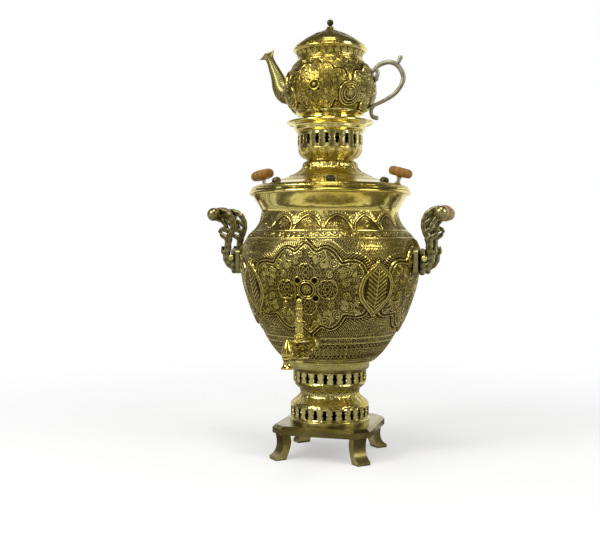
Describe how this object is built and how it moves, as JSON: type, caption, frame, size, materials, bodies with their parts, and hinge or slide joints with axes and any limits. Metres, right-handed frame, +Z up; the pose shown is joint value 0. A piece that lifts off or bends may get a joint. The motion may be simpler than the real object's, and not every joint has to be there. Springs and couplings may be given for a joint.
{
  "type": "samovar",
  "caption": "Charcoal samovar in embossed brass: pedestal, urn with fire tube, tap, side handles, lid, pierced crown and a teapot on top.",
  "frame": {"origin": "on the vertical axis, at the level of the ground under the feet", "axes": "+Z up; the tap points towards -Y; the handles stand at -X and +X; the teapot's spout points towards -X"},
  "size_m": [0.3508, 0.3462, 0.62],
  "materials": {
    "brass_sheet": "polished and embossed",
    "brass_casting": "polished casting",
    "turned_wood": "turned and lacquered",
    "iron": "rough casting",
    "gasket_rubber": "matt",
    "steel": "plain"
  },
  "bodies": {
    "urn": {"pedestal_waist": "brass_sheet", "body_shell": "brass_sheet", "body_neck": "brass_sheet", "fire_tube": "brass_sheet", "feet": "brass_casting", "plinth_plate": "brass_casting", "pedestal_foot_gallery": "brass_casting", "pedestal_top_gallery": "brass_casting", "tap_boss": "brass_casting", "tap_shank": "brass_casting", "tap_nut": "brass_casting", "tap_barrel": "brass_casting", "tap_spout": "brass_casting", "tap_nozzle": "brass_casting", "handle_saddle_left": "brass_casting", "handle_arm_left_front": "brass_casting", "handle_arm_left_back": "brass_casting", "handle_caps_left": "brass_casting", "handle_pin_left": "brass_casting", "handle_saddle_rivets_left": "brass_casting", "handle_rod_left": "brass_casting", "handle_saddle_right": "brass_casting", "handle_arm_right_front": "brass_casting", "handle_arm_right_back": "brass_casting", "handle_caps_right": "brass_casting", "handle_pin_right": "brass_casting", "handle_saddle_rivets_right": "brass_casting", "handle_rod_right": "brass_casting", "grate": "iron", "tap_gasket": "gasket_rubber", "plinth_screws": "steel"},
    "tap_key": {"tap_plug": "brass_casting", "tap_plug_washer": "brass_casting", "tap_plug_nut": "brass_casting", "tap_key": "brass_casting"},
    "grip_left": {"handle_grip_left": "turned_wood"},
    "grip_right": {"handle_grip_right": "turned_wood"},
    "lid": {"lid": "brass_sheet", "lid_skirt": "brass_sheet", "lid_collar": "brass_sheet", "lid_knob_stem_left": "brass_casting", "lid_knob_stem_right": "brass_casting", "lid_knob_left": "turned_wood", "lid_knob_right": "turned_wood", "lid_knob_nuts": "brass_casting", "steam_vents": "brass_casting"},
    "crown": {"crown_cup": "brass_sheet", "crown_gallery": "brass_casting", "crown_dish": "brass_sheet"},
    "teapot": {"teapot_foot": "brass_sheet", "teapot_body": "brass_sheet", "teapot_spout": "brass_sheet", "teapot_handle": "brass_casting"},
    "teapot_lid": {"teapot_lid": "brass_sheet", "teapot_lid_finial": "brass_casting"}
  },
  "joints": [
    {"name": "tap_turn", "type": "hinge", "parent": "urn", "child": "tap_key", "pos_m": [0, -0.156, 0.17], "axis": [0, 0, 1], "range_deg": [0, 90]},
    {"name": "grip_left_spin", "type": "hinge", "parent": "urn", "child": "grip_left", "pos_m": [-0.164, 0, 0.344], "axis": [0, 1, 0], "continuous": true},
    {"name": "grip_right_spin", "type": "hinge", "parent": "urn", "child": "grip_right", "pos_m": [0.164, 0, 0.344], "axis": [0, 1, 0], "continuous": true},
    {"name": "lid_lift", "type": "slide", "parent": "urn", "child": "lid", "axis": [0, 0, 1], "range_m": [0, 0.1]},
    {"name": "crown_lift", "type": "slide", "parent": "lid", "child": "crown", "axis": [0, 0, 1], "range_m": [0, 0.04]},
    {"name": "teapot_lift", "type": "slide", "parent": "crown", "child": "teapot", "axis": [0, 0, 1], "range_m": [0, 0.04]},
    {"name": "teapot_lid_lift", "type": "slide", "parent": "teapot", "child": "teapot_lid", "axis": [0, 0, 1], "range_m": [0, 0.03]}
  ]
}
